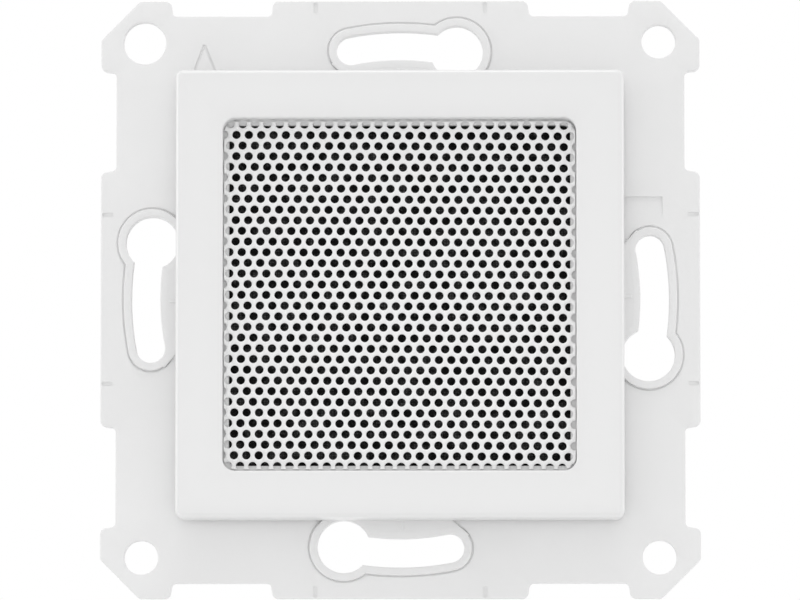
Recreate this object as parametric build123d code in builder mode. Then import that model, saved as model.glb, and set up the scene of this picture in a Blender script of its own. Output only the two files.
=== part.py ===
from build123d import *
import os

# In-wall radio: a flush unit for a round wall box.
# A moulded carrier with a square cover and a perforated grille, a small loudspeaker behind it,
# and an eight-sided housing at the back that holds the receiver board and its terminals.
#
# Millimetres. X is to the right and Z is up, as seen by someone facing the wall.
# The origin is on the device axis, in the plane of the wall. Heights are measured out of the wall:
# a positive height is in front of it (towards -Y), a negative one is inside the wall box (towards +Y).

wall = Plane.XZ

# Support plate
plate_size = 70.7
plate_thickness = 1.8
plate_corner = 4.6
notch_start = 15.25
notch_end = 26.85
notch_depth = 1.8
notch_flare = 0.25

# Keyhole slots for the wall box screws, one on each side
slot_circle = 30.0
slot_width = 3.4
slot_tail_angle = 11.2
slot_head_angle = 12.8
slot_head_radius = 3.1
rim_width = 1.15
rim_height = 0.3

# Fixing holes in the four corners of the plate
corner_hole_spacing = 61.0
corner_hole_radius = 2.0
marked_hole_radius = 2.5

# Index marks for lining the plate up
mark_offset = 10.0
mark_length = 1.3
mark_width = 0.5
mark_depth = 0.15

# Raised platform that carries the loudspeaker, and the low seat of the housing behind it
platform_margin = 1.0
platform_height = 1.8
platform_corner = 3.0
seat_height = 1.0
seat_margin = 0.2

# Cover with its snap arms
cover_size = 52.7
cover_border = 5.65
cover_depth = 7.4
cover_corner_radius = 0.9
cover_edge_break = 0.35
cover_wall = 1.6
cover_panel = 1.8
arm_width = 4.0
arm_thickness = 1.2
arm_offset = 17.0
arm_end_height = 0.2
arm_barb = 0.5
arm_barb_height = 0.6
arm_clearance = 0.2

# Opening of the cover, with the ledge that the grille lies on
opening_corner_radius = 1.5
ledge_width = 0.7
ledge_thickness = 1.0
collar_wall = 1.2

# Grille: a perforated sheet that lies loose in the opening and sits slightly askew
grille_recess = 2.0
grille_thickness = 0.6
grille_clearance = 0.25
grille_turn = -0.36
grille_shift = 0.04
grille_pitch = 2.9
grille_hole_across = 1.9
grille_border = 0.8

# Acoustic cloth and foam gasket
cloth_thickness = 0.3
cloth_margin = 0.5
gasket_inset = 0.2
gasket_corner = 3.0
gasket_band = 1.9

# Loudspeaker chassis: its flange is held on the platform by four clips
flange_margin = 1.3
flange_border = 5.6
flange_corner = 2.0
flange_thickness = 0.8
clip_offset = 11.0
clip_width = 5.0
clip_thickness = 0.8
clip_hook = 0.5
clip_hook_height = 0.6
clip_clearance = 0.1
basket_wall = 0.8
basket_floor_radius = 11.4
basket_floor_height = -3.2
basket_leg_width = 9.0
basket_clearance = 0.4

# Diaphragm and its suspension, drawn with flat facets round the axis
facet_count = 36
surround_width = 4.0
surround_lap = 0.8
surround_thickness = 0.4
cone_wall = 0.8
cone_neck_height = -1.6
cap_radius = 6.6
cap_top_radius = 4.2
cap_rise = 1.4
glue_gap = 0.05
spider_thickness = 0.35
spider_radius = 10.8
spider_inner_height = -2.2

# Motor
coil_radius = 5.25
coil_thickness = 0.4
coil_front_height = -1.0
coil_length = 6.6
air_gap = 0.35
cup_wall = 3.0
cup_floor = 2.2
pole_thickness = 2.3
magnet_radius = 4.3
magnet_thickness = 5.0

# Loudspeaker tags and the strips that connect them with the board
tag_strip_width = 8.0
tag_strip_depth = 2.4
tag_strip_thickness = 0.8
tag_strip_offset = 10.7
contact_spacing = 5.0
contact_width = 1.4
contact_thickness = 0.4

# Rear housing, held to the plate by four snap tongues
housing_size = 46.0
housing_wall = 1.6
housing_floor = 2.0
housing_depth = 30.5
tongue_width = 6.0
tongue_thickness = 1.2
tongue_root = 7.0
tongue_barb = 0.6
tongue_barb_height = 0.8
tongue_clearance = 0.2
tongue_hook_clearance = 0.05
post_size = 3.2
post_share = (0.78, 0.362)
nose_width = 5.0
nose_reach = 0.8
nose_root = 0.8
nose_height = 1.0
nose_clearance = 0.05
vent_width = 1.5
vent_length = 12.0
vent_spacing = 3.5
vent_count = 5
vent_z = 8.5

# Circuit board and what it carries
board_clearance = 0.4
board_thickness = 1.6
board_height = -15.0
transformer_size = (13.0, 11.4, 10.5)
transformer_chamfer = 0.8
capacitor_radius = 4.0
capacitor_height = 11.5
film_capacitor_size = (10.5, 5.0, 9.0)
choke_size = (5.6, 5.6, 5.0)
choke_chamfer = 1.2
module_size = (13.0, 8.0, 0.8)
shield_size = (10.5, 6.2, 2.2)
amplifier_size = (5.0, 5.0, 1.2)

# Places on the board, as shares of its half width
transformer_share = (-0.333, 0.332)
capacitor_share = (0.452, 0.595)
film_capacitor_share = (-0.376, -0.262)
choke_share = (0.819, 0.100)
module_share = (0.300, -0.203)
amplifier_share = (0.0, 0.850)

# Terminal block with three poles
pole_count = 3
pole_pitch = 5.0
terminal_depth = 9.0
terminal_height = 14.4
terminal_setback = 1.9
terminal_end_wall = 0.2
terminal_bay_clearance = 0.3
terminal_bay_depth = 8.5
wire_entry_width = 3.8
wire_entry_height = 4.2
wire_entry_depth = 7.5
wire_entry_from_rear = 1.9
clamp_clearance = 0.1
clamp_length = 5.0
clamp_wall = 0.5
clamp_inset = 1.2
terminal_screw_radius = 1.4
terminal_screw_clearance = 0.1
terminal_screw_recess = 0.3

# Widths that follow from the sizes above
opening_size = cover_size - 2 * cover_border
collar_size = opening_size + 2 * collar_wall
cloth_size = collar_size - 2 * cloth_margin
gasket_size = cloth_size - 2 * gasket_inset
flange_size = opening_size + 2 * flange_margin
basket_mouth_radius = flange_size / 2 - flange_border
platform_size = flange_size + 2 * platform_margin
housing_half = housing_size / 2
inner_half = housing_half - housing_wall
board_size = housing_size - 2 * (housing_wall + board_clearance)
terminal_z = terminal_setback + terminal_depth / 2 - inner_half

# Heights that follow from the sizes above
plate_front = plate_thickness
platform_front = plate_front + platform_height
cover_back = plate_front + rim_height
cover_front = cover_back + cover_depth
grille_front = cover_front - grille_recess
grille_back = grille_front - grille_thickness
collar_back = grille_back - ledge_thickness
cloth_back = collar_back - cloth_thickness
flange_front = platform_front + flange_thickness
coil_back = coil_front_height - coil_length
basket_floor_back = basket_floor_height - basket_wall
cup_front = basket_floor_back
magnet_front = cup_front - pole_thickness
magnet_back = magnet_front - magnet_thickness
cup_back = magnet_back - cup_floor
housing_front = -seat_height
housing_back = housing_front - housing_depth
board_back = board_height - board_thickness
terminal_back = board_back - terminal_height

# Radii that follow from the sizes above
coil_inner = coil_radius - coil_thickness / 2
coil_outer = coil_radius + coil_thickness / 2
pole_radius = coil_inner - air_gap
gap_radius = coil_outer + air_gap
cup_radius = gap_radius + cup_wall
surround_outer = basket_mouth_radius + surround_lap
surround_inner = surround_outer - surround_width
cone_rim_radius = surround_inner + surround_lap
speaker_hole_radius = basket_mouth_radius + basket_wall + basket_clearance


def quarter_turns(x, y):
    """Places the same point on each of the four sides of the plate."""
    return [Location((0, 0, 0), (0, 0, 90 * k)) * Location((x, y, 0)) for k in range(4)]


def four_ways(x, y):
    """The same point mirrored to the left and right and to the top and bottom."""
    return [(side * x, level * y) for side in (-1, 1) for level in (-1, 1)]


def on_board(share):
    """A place on the board, from shares of its half width."""
    return (share[0] * board_size / 2, share[1] * board_size / 2)


def section(*points):
    """Turns (radius, height) pairs into points beside the Y axis."""
    return [(radius, -height) for radius, height in points]


def octagon(half_width):
    """Regular octagon with flat sides at the top, bottom, left and right."""
    return RegularPolygon(half_width, 8, major_radius=False, rotation=22.5)


# Support plate: notched outline, platform, seat, raised slot rims, then all that is cut through it
plate_half = plate_size / 2
slot_path = CenterArc((0, 0), slot_circle, -slot_head_angle, slot_head_angle + slot_tail_angle)
tongue_middle = inner_half - tongue_thickness / 2
tongue_window = tongue_thickness + 2 * tongue_clearance
arm_middle = cover_size / 2 - cover_wall - arm_thickness / 2
arm_window = arm_thickness + 2 * arm_clearance
arm_pocket_height = arm_end_height + arm_barb_height + tongue_hook_clearance
tongue_pocket_floor = plate_front - tongue_barb_height - tongue_clearance
clip_middle = flange_size / 2 + clip_clearance + clip_thickness / 2

with BuildPart() as support_plate:
    with BuildSketch(wall) as plate_outline:
        Rectangle(plate_size, plate_size)
        chamfer(plate_outline.vertices(), plate_corner)
        for side in (-1, 1):
            notch = [
                (side * (notch_start - notch_flare), plate_half),
                (side * notch_start, plate_half - notch_depth),
                (side * notch_end, plate_half - notch_depth),
                (side * (notch_end + notch_flare), plate_half),
            ]
            with Locations(*quarter_turns(0, 0)):
                Polygon(*notch, align=None, mode=Mode.SUBTRACT)
    extrude(amount=plate_thickness)
    with BuildSketch(wall.offset(plate_front)) as platform_outline:
        Rectangle(platform_size, platform_size)
        chamfer(platform_outline.vertices(), platform_corner)
    extrude(amount=platform_height)
    with BuildSketch(wall):
        octagon(housing_half + seat_margin)
    extrude(amount=-seat_height)
    with BuildSketch(wall.offset(plate_front)):
        with Locations(*quarter_turns(0, 0)):
            SlotArc(slot_path, slot_width + 2 * rim_width)
        with PolarLocations(slot_circle, 4, start_angle=-slot_head_angle):
            Circle(slot_head_radius + rim_width)
    extrude(amount=rim_height)
    with BuildSketch(wall.offset(cover_back)):
        with Locations(*quarter_turns(0, 0)):
            SlotArc(slot_path, slot_width)
        with PolarLocations(slot_circle, 4, start_angle=-slot_head_angle):
            Circle(slot_head_radius)
    extrude(amount=-cover_back, mode=Mode.SUBTRACT)
    with BuildSketch(wall):
        with Locations(*four_ways(corner_hole_spacing / 2, corner_hole_spacing / 2)):
            Circle(corner_hole_radius)
        with Locations((-corner_hole_spacing / 2, corner_hole_spacing / 2)):
            Circle(marked_hole_radius)
    extrude(amount=plate_thickness, mode=Mode.SUBTRACT)
    with BuildSketch(wall.offset(plate_front)):
        for side in (-1, 1):
            with Locations(*quarter_turns(side * mark_offset, plate_half - mark_length / 2)):
                Rectangle(mark_width, mark_length)
    extrude(amount=-mark_depth, mode=Mode.SUBTRACT)
    with BuildSketch(wall.offset(platform_front)):
        octagon(speaker_hole_radius)
        with Locations(*quarter_turns(tongue_middle, 0)):
            Rectangle(tongue_window, tongue_width + 2 * tongue_clearance)
    extrude(amount=-(platform_front + seat_height), mode=Mode.SUBTRACT)
    with BuildSketch(wall.offset(platform_front)):
        with Locations(*quarter_turns(tongue_middle + tongue_barb / 2, 0)):
            Rectangle(tongue_window + tongue_barb, tongue_width + 2 * tongue_clearance)
    extrude(amount=-(platform_front - tongue_pocket_floor), mode=Mode.SUBTRACT)
    with BuildSketch(wall.offset(plate_front)):
        with Locations(*four_ways(arm_middle, arm_offset)):
            Rectangle(arm_window, arm_width + 2 * arm_clearance)
    extrude(amount=-plate_thickness, mode=Mode.SUBTRACT)
    with BuildSketch(wall):
        with Locations(*four_ways(arm_middle + arm_barb / 2, arm_offset)):
            Rectangle(arm_window + arm_barb, arm_width + 2 * arm_clearance)
    extrude(amount=arm_pocket_height, mode=Mode.SUBTRACT)
    with BuildSketch(wall.offset(platform_front)):
        with Locations(*four_ways(clip_middle, clip_offset)):
            Rectangle(clip_thickness, clip_width)
    extrude(amount=flange_thickness + clip_clearance + clip_hook_height)
    with BuildSketch(wall.offset(flange_front + clip_clearance)):
        with Locations(*four_ways(clip_middle - clip_hook / 2, clip_offset)):
            Rectangle(clip_thickness + clip_hook, clip_width)
    extrude(amount=clip_hook_height)
support_plate.part.label = "support_plate"

# Cover frame: a square hood with a collar round its opening and four snap arms at its sides
with BuildPart() as cover_frame:
    with BuildSketch(wall.offset(cover_back)):
        RectangleRounded(cover_size, cover_size, cover_corner_radius)
    extrude(amount=cover_depth)
    chamfer(cover_frame.faces().sort_by(Axis.Y)[0].edges(), cover_edge_break)
    with BuildSketch(wall.offset(cover_back)):
        Rectangle(cover_size - 2 * cover_wall, cover_size - 2 * cover_wall)
    extrude(amount=cover_depth - cover_panel, mode=Mode.SUBTRACT)
    with BuildSketch(wall.offset(collar_back)):
        Rectangle(collar_size, collar_size)
    extrude(amount=cover_front - cover_panel - collar_back)
    with BuildSketch(wall.offset(cover_front)):
        RectangleRounded(opening_size, opening_size, opening_corner_radius)
    extrude(amount=-(cover_front - grille_back), mode=Mode.SUBTRACT)
    with BuildSketch(wall.offset(grille_back)):
        ledge_opening = opening_size - 2 * ledge_width
        RectangleRounded(ledge_opening, ledge_opening, opening_corner_radius - ledge_width)
    extrude(amount=-ledge_thickness, mode=Mode.SUBTRACT)
    with BuildSketch(wall.offset(cover_front - cover_panel)):
        with Locations(*four_ways(arm_middle, arm_offset)):
            Rectangle(arm_thickness, arm_width)
    extrude(amount=-(cover_front - cover_panel - arm_end_height))
    with BuildSketch(wall.offset(arm_end_height)):
        with Locations(*four_ways(arm_middle + arm_barb / 2, arm_offset)):
            Rectangle(arm_thickness + arm_barb, arm_width)
    extrude(amount=arm_barb_height)
cover_frame.part.label = "cover_frame"

# Grille: rows of six-sided holes in a close-packed pattern, turned a little in the opening
grille_size = opening_size - 2 * grille_clearance
row_pitch = grille_pitch * 3**0.5 / 2
hole_reach = (opening_size / 2 - ledge_width) - grille_border - grille_hole_across / 2
row_count = int(hole_reach / row_pitch)
hole_places = []
for row in range(-row_count, row_count + 1):
    stagger = grille_pitch / 2 if row % 2 else 0
    column_count = int((hole_reach + stagger) / grille_pitch)
    for column in range(-column_count, column_count + 1):
        x = column * grille_pitch + stagger
        if abs(x) <= hole_reach:
            hole_places.append((x, row * row_pitch))

with BuildPart() as grille:
    with BuildSketch(wall.offset(grille_back)):
        with Locations(Location((grille_shift, 0, 0), (0, 0, grille_turn))):
            RectangleRounded(grille_size, grille_size, opening_corner_radius - grille_clearance)
            with Locations(*hole_places):
                RegularPolygon(grille_hole_across / 2, 6, rotation=30, mode=Mode.SUBTRACT)
    extrude(amount=grille_thickness)
grille.part.label = "grille"

# Acoustic cloth on the back of the collar, and the foam gasket between it and the loudspeaker
with BuildPart() as dust_cloth:
    with BuildSketch(wall.offset(cloth_back)):
        Rectangle(cloth_size, cloth_size)
    extrude(amount=cloth_thickness)
dust_cloth.part.label = "dust_cloth"

with BuildPart() as speaker_gasket:
    with BuildSketch(wall.offset(flange_front)) as gasket_outline:
        Rectangle(gasket_size, gasket_size)
        chamfer(gasket_outline.vertices(), gasket_corner)
        offset(amount=-gasket_band, mode=Mode.SUBTRACT)
    extrude(amount=cloth_back - flange_front)
speaker_gasket.part.label = "speaker_gasket"

# Loudspeaker chassis: square flange, four sloping legs, floor that carries the motor
with BuildPart() as speaker_basket:
    with BuildSketch(wall.offset(platform_front)) as flange_outline:
        Rectangle(flange_size, flange_size)
        chamfer(flange_outline.vertices(), flange_corner)
        Circle(basket_mouth_radius, mode=Mode.SUBTRACT)
    extrude(amount=flange_thickness)
    with BuildSketch(wall.offset(basket_floor_back)):
        octagon(basket_floor_radius + basket_wall)
        Circle(gap_radius + air_gap, mode=Mode.SUBTRACT)
    extrude(amount=basket_wall)
    for turn in range(4):
        with BuildSketch(Plane.XY.rotated((0, 90 * turn, 0))):
            Polygon(
                *section(
                    (basket_mouth_radius, platform_front),
                    (basket_floor_radius, basket_floor_height),
                    (basket_floor_radius, basket_floor_back),
                    (basket_floor_radius + basket_wall, basket_floor_back),
                    (basket_mouth_radius + basket_wall, platform_front),
                ),
                align=None,
            )
        extrude(amount=basket_leg_width / 2, both=True)
speaker_basket.part.label = "speaker_basket"

# Surround: the soft edge that joins the cone to the chassis
with BuildSketch(wall) as ring_guide:
    RegularPolygon(surround_outer, facet_count)
ring_path = ring_guide.sketch.face().outer_wire()
with BuildPart() as surround:
    with BuildSketch(Plane.XY):
        Polygon(
            *section(
                (surround_inner, flange_front),
                (surround_outer, flange_front),
                (surround_outer, flange_front + surround_thickness),
                (surround_inner, flange_front + surround_thickness),
            ),
            align=None,
        )
    sweep(path=ring_path, transition=Transition.RIGHT)
surround.part.label = "surround"

# Cone, its dust cap and the voice coil: the pieces that move together
neck_radius = coil_outer + glue_gap
cone_inner_radius = cone_rim_radius - cone_wall
with BuildPart() as cone:
    with BuildSketch(Plane.XY):
        Polygon(
            *section(
                (cone_rim_radius, flange_front),
                (cone_inner_radius, flange_front),
                (neck_radius, cone_neck_height),
                (neck_radius + cone_wall, cone_neck_height),
            ),
            align=None,
        )
    sweep(path=ring_path, transition=Transition.RIGHT)
cone.part.label = "cone"

with BuildPart() as dust_cap:
    cone_rise = (flange_front - cone_neck_height) / (cone_inner_radius - neck_radius)
    cap_height = cone_neck_height + cone_rise * (cap_radius - neck_radius)
    with BuildSketch(Plane.XY):
        Polygon(
            *section(
                (cap_radius, cap_height),
                (cap_top_radius, cap_height + cap_rise),
                (cap_top_radius, cap_height),
            ),
            align=None,
        )
    sweep(path=ring_path, transition=Transition.RIGHT)
    with BuildSketch(wall.offset(cap_height)):
        RegularPolygon(cap_top_radius, facet_count)
    extrude(amount=cap_rise)
dust_cap.part.label = "dust_cap"

with BuildPart() as voice_coil:
    with BuildSketch(wall.offset(coil_back)):
        RegularPolygon(coil_outer, facet_count)
        RegularPolygon(coil_inner, facet_count, mode=Mode.SUBTRACT)
    extrude(amount=coil_length)
voice_coil.part.label = "voice_coil"

# Spider: the dished ring that centres the coil
with BuildPart() as spider:
    with BuildSketch(Plane.XY):
        Polygon(
            *section(
                (neck_radius, spider_inner_height),
                (neck_radius, spider_inner_height + spider_thickness),
                (spider_radius, basket_floor_height + spider_thickness),
                (spider_radius, basket_floor_height),
            ),
            align=None,
        )
    sweep(path=ring_path, transition=Transition.RIGHT)
spider.part.label = "spider"

# Motor: steel cup, round magnet in it, steel pole disc on the magnet
with BuildPart() as magnet_cup:
    with BuildSketch(wall.offset(cup_back)):
        Circle(cup_radius)
    extrude(amount=cup_front - cup_back)
    with BuildSketch(wall.offset(cup_front)):
        Circle(gap_radius)
    extrude(amount=magnet_back - cup_front, mode=Mode.SUBTRACT)
magnet_cup.part.label = "magnet_cup"

with BuildPart() as magnet:
    with BuildSketch(wall.offset(magnet_back)):
        Circle(magnet_radius)
    extrude(amount=magnet_thickness)
magnet.part.label = "magnet"

with BuildPart() as pole_disc:
    with BuildSketch(wall.offset(magnet_front)):
        Circle(pole_radius)
    extrude(amount=pole_thickness)
pole_disc.part.label = "pole_disc"

# Tag strip under the chassis floor, and the two strips that lead from it to the board
with BuildPart() as speaker_terminal:
    with BuildSketch(wall.offset(basket_floor_back)):
        with Locations((0, tag_strip_offset)):
            Rectangle(tag_strip_width, tag_strip_depth)
    extrude(amount=-tag_strip_thickness)
speaker_terminal.part.label = "speaker_terminal"

with BuildPart() as contact_strips:
    with BuildSketch(wall.offset(board_height)):
        for side in (-1, 1):
            with Locations((side * contact_spacing / 2, tag_strip_offset)):
                Rectangle(contact_width, contact_thickness)
    extrude(amount=basket_floor_back - tag_strip_thickness - board_height)
contact_strips.part.label = "contact_strips"

# Rear housing: eight-sided cup with snap tongues, board posts, board noses, vents and terminal bay
terminal_width = pole_count * pole_pitch + 2 * terminal_end_wall
bay_width = terminal_width + 2 * terminal_bay_clearance
bay_top = terminal_z + terminal_depth / 2 + terminal_bay_clearance
barb_seat = tongue_pocket_floor + tongue_hook_clearance
with BuildPart() as rear_housing:
    with BuildSketch(wall.offset(housing_front)):
        octagon(housing_half)
    extrude(amount=-housing_depth)
    with BuildSketch(wall.offset(housing_front)):
        octagon(inner_half)
    extrude(amount=-(housing_depth - housing_floor), mode=Mode.SUBTRACT)
    with BuildSketch(wall.offset(housing_front - tongue_root)):
        with Locations(*quarter_turns(tongue_middle, 0)):
            Rectangle(tongue_thickness, tongue_width)
    extrude(amount=barb_seat - housing_front + tongue_root)
    with BuildSketch(wall.offset(barb_seat)):
        with Locations(*quarter_turns(tongue_middle + tongue_barb / 2, 0)):
            Rectangle(tongue_thickness + tongue_barb, tongue_width)
    extrude(amount=tongue_barb_height)
    with BuildSketch(wall.offset(housing_back)):
        with Locations(*four_ways(*on_board(post_share))):
            Rectangle(post_size, post_size)
    extrude(amount=board_back - housing_back)
    with BuildSketch(wall.offset(board_height + nose_clearance)):
        with Locations(*quarter_turns(inner_half + (nose_root - nose_reach) / 2, 0)):
            Rectangle(nose_reach + nose_root, nose_width)
    extrude(amount=nose_height)
    with BuildSketch(wall.offset(housing_back)):
        bay_bottom = -housing_half
        with Locations((0, (bay_top + bay_bottom) / 2)):
            Rectangle(bay_width, bay_top - bay_bottom)
        with Locations((0, vent_z)):
            with GridLocations(vent_spacing, 0, vent_count, 1):
                Rectangle(vent_width, vent_length)
    extrude(amount=housing_floor, mode=Mode.SUBTRACT)
    with BuildSketch(wall.offset(housing_back)):
        with Locations((0, (bay_top + bay_bottom) / 2)):
            Rectangle(bay_width, bay_top - bay_bottom)
    extrude(amount=terminal_bay_depth, mode=Mode.SUBTRACT)
rear_housing.part.label = "rear_housing"

# Circuit board and the components on its back
with BuildPart() as circuit_board:
    with BuildSketch(wall.offset(board_back)):
        octagon(board_size / 2)
    extrude(amount=board_thickness)
circuit_board.part.label = "circuit_board"

with BuildPart() as transformer:
    width, length, height = transformer_size
    with BuildSketch(wall.offset(board_back)):
        with Locations(on_board(transformer_share)):
            Rectangle(width, length)
    extrude(amount=-height)
    chamfer(transformer.faces().sort_by(Axis.Y)[-1].edges(), transformer_chamfer)
transformer.part.label = "transformer"

with BuildPart() as smoothing_capacitor:
    with BuildSketch(wall.offset(board_back)):
        with Locations(on_board(capacitor_share)):
            Circle(capacitor_radius)
    extrude(amount=-capacitor_height)
smoothing_capacitor.part.label = "smoothing_capacitor"

with BuildPart() as film_capacitor:
    width, length, height = film_capacitor_size
    with BuildSketch(wall.offset(board_back)):
        with Locations(on_board(film_capacitor_share)):
            Rectangle(width, length)
    extrude(amount=-height)
film_capacitor.part.label = "film_capacitor"

with BuildPart() as choke:
    width, length, height = choke_size
    with BuildSketch(wall.offset(board_back)) as choke_outline:
        with Locations(on_board(choke_share)):
            Rectangle(width, length)
        chamfer(choke_outline.vertices(), choke_chamfer)
    extrude(amount=-height)
choke.part.label = "choke"

with BuildPart() as radio_module:
    width, length, height = module_size
    with BuildSketch(wall.offset(board_back)):
        with Locations(on_board(module_share)):
            Rectangle(width, length)
    extrude(amount=-height)
radio_module.part.label = "radio_module"

with BuildPart() as module_shield:
    width, length, height = shield_size
    with BuildSketch(wall.offset(board_back - module_size[2])):
        with Locations(on_board(module_share)):
            Rectangle(width, length)
    extrude(amount=-height)
module_shield.part.label = "module_shield"

with BuildPart() as amplifier_chip:
    width, length, height = amplifier_size
    with BuildSketch(wall.offset(board_back)):
        with Locations(on_board(amplifier_share)):
            Rectangle(width, length)
    extrude(amount=-height)
amplifier_chip.part.label = "amplifier_chip"

# Terminal block: wires enter from below, the screws are reached from behind
entry_height = terminal_back + wire_entry_from_rear + wire_entry_height / 2
entry_face = Plane.XY.offset(terminal_z - terminal_depth / 2)
pole_places = [((pole - (pole_count - 1) / 2) * pole_pitch, -entry_height) for pole in range(pole_count)]
screw_window = 2 * (terminal_screw_radius + terminal_screw_clearance)
clamp_width = wire_entry_width - 2 * clamp_clearance
clamp_height = wire_entry_height - 2 * clamp_clearance
with BuildPart() as terminal_block:
    with BuildSketch(wall.offset(board_back)):
        with Locations((0, terminal_z)):
            Rectangle(terminal_width, terminal_depth)
    extrude(amount=-terminal_height)
    with BuildSketch(entry_face):
        with Locations(*pole_places):
            Rectangle(wire_entry_width, wire_entry_height)
    extrude(amount=wire_entry_depth, mode=Mode.SUBTRACT)
    with BuildSketch(wall.offset(terminal_back)):
        with Locations(*[(x, terminal_z) for x, y in pole_places]):
            Rectangle(screw_window, screw_window)
    extrude(amount=wire_entry_from_rear, mode=Mode.SUBTRACT)
terminal_block.part.label = "terminal_block"

with BuildPart() as terminal_clamps:
    with BuildSketch(entry_face.offset(clamp_inset)):
        with Locations(*pole_places):
            Rectangle(clamp_width, clamp_height)
            Rectangle(
                clamp_width - 2 * clamp_wall, clamp_height - 2 * clamp_wall, mode=Mode.SUBTRACT
            )
    extrude(amount=clamp_length)
terminal_clamps.part.label = "terminal_clamps"

with BuildPart() as terminal_screws:
    screw_head = terminal_back + terminal_screw_recess
    screw_tip = entry_height - clamp_height / 2
    with BuildSketch(wall.offset(screw_head)):
        with Locations(*[(x, terminal_z) for x, y in pole_places]):
            Circle(terminal_screw_radius)
    extrude(amount=screw_tip - screw_head)
terminal_screws.part.label = "terminal_screws"

os.makedirs("parts", exist_ok=True)
for piece in (
    support_plate,
    cover_frame,
    grille,
    dust_cloth,
    speaker_gasket,
    speaker_basket,
    surround,
    cone,
    dust_cap,
    voice_coil,
    spider,
    magnet_cup,
    magnet,
    pole_disc,
    speaker_terminal,
    contact_strips,
    rear_housing,
    circuit_board,
    transformer,
    smoothing_capacitor,
    film_capacitor,
    choke,
    radio_module,
    module_shield,
    amplifier_chip,
    terminal_block,
    terminal_clamps,
    terminal_screws,
):
    export_step(piece.part, f"parts/{piece.part.label}.step")
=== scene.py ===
import bpy
import bmesh
from math import acos, asin, atan2, ceil, cos, degrees, hypot, pi, radians, sin, sqrt, tan
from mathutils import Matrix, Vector
from mathutils.geometry import delaunay_2d_cdt


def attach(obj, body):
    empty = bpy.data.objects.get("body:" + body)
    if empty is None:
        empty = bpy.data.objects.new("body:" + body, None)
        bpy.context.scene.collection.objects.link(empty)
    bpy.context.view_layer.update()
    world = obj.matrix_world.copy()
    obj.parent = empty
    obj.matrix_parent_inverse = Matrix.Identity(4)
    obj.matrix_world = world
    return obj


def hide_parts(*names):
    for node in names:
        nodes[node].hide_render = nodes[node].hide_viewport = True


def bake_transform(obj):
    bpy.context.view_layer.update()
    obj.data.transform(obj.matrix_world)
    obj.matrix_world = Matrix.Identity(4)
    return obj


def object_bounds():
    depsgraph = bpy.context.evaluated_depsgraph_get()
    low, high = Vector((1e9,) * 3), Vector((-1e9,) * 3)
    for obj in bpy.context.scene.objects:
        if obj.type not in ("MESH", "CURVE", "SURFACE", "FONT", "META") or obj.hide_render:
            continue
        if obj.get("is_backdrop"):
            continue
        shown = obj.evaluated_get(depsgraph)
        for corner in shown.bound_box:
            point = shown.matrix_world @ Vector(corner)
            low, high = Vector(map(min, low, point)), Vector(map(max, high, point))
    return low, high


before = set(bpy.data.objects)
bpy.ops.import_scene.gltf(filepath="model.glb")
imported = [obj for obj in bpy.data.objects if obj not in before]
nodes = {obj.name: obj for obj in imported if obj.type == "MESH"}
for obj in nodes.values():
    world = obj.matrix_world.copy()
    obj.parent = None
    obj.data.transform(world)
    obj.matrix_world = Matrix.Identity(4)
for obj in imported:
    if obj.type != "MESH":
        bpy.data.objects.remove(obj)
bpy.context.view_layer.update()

# Flat shapes are written in millimetres as (x, z) points seen from the front.
# Heights are millimetres out of the wall, as in the CAD source.
MM = 0.001
HALF = 35.35
SEAT, PLATE, RIM, PLATFORM = -1.0, 1.8, 2.1, 3.6
LEDGE_BACK, GRILLE_BACK, GRILLE_FRONT, PANEL_BACK, COVER = 5.9, 6.9, 7.5, 7.7, 9.5
FLANGE_BACK, FLANGE_FRONT = 3.6, 4.4
DISH_BACK, DISH_FRONT = -4.0, -3.2
CUP_BACK, MAGNET_BACK, MAGNET_FRONT, POLE_FRONT = -13.5, -11.3, -6.3, -4.0
BOARD_BACK, BOARD_FRONT = -16.6, -15.0
HOUSING_BACK, FLOOR_FRONT, SILL = -31.5, -29.5, -23.0
CORNERS = [(x, z) for x in (-1, 1) for z in (-1, 1)]
ARC_STEP = 0.22
CORNER_STEP = 0.16
SECTION_STEP = 0.08
CORNER_TURN = 0.35


# Outlines

def turned(points, angle):
    """Points turned about the axis by an angle in degrees."""
    c, s = cos(radians(angle)), sin(radians(angle))
    return [(x * c - z * s, x * s + z * c) for x, z in points]


def moved(points, dx, dz):
    return [(x + dx, z + dz) for x, z in points]


def arc(cx, cz, radius, start, end):
    """Points along an arc, both ends included; angles in degrees."""
    count = max(3, ceil(abs(radians(end - start)) * radius / ARC_STEP))
    angles = [radians(start + (end - start) * k / count) for k in range(count + 1)]
    return [(cx + radius * cos(a), cz + radius * sin(a)) for a in angles]


def circle(cx, cz, radius, count=64):
    angles = [2 * pi * k / count for k in range(count)]
    return [(cx + radius * cos(a), cz + radius * sin(a)) for a in angles]


def rounded(points, radii, step=CORNER_STEP):
    """A closed polygon with its corners rounded; radii is one number or one for each corner."""
    count = len(points)
    radii = [radii] * count if isinstance(radii, (int, float)) else radii
    out = []
    for k in range(count):
        a, b, c = (Vector(points[(k + i) % count]) for i in (-1, 0, 1))
        into, away = (b - a).normalized(), (c - b).normalized()
        turn = into.angle_signed(away)
        radius = radii[k]
        if radius < 1e-6 or abs(turn) < 1e-3:
            out.append(tuple(b))
            continue
        reach = radius * tan(abs(turn) / 2)
        side = -1 if turn > 0 else 1
        normal = Vector((-into.y, into.x)) * side
        centre = b - into * reach + normal * radius
        first = b - into * reach - centre
        pieces = max(2, ceil(abs(turn) * radius / step), ceil(abs(turn) / CORNER_TURN))
        for i in range(pieces + 1):
            angle = -turn * i / pieces
            ca, sa = cos(angle), sin(angle)
            out.append((centre.x + first.x * ca - first.y * sa, centre.y + first.x * sa + first.y * ca))
    return out


def box_points(cx, cz, width, depth, corner=0.0):
    x, z = width / 2, depth / 2
    return rounded([(cx - x, cz - z), (cx + x, cz - z), (cx + x, cz + z), (cx - x, cz + z)], corner)


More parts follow.
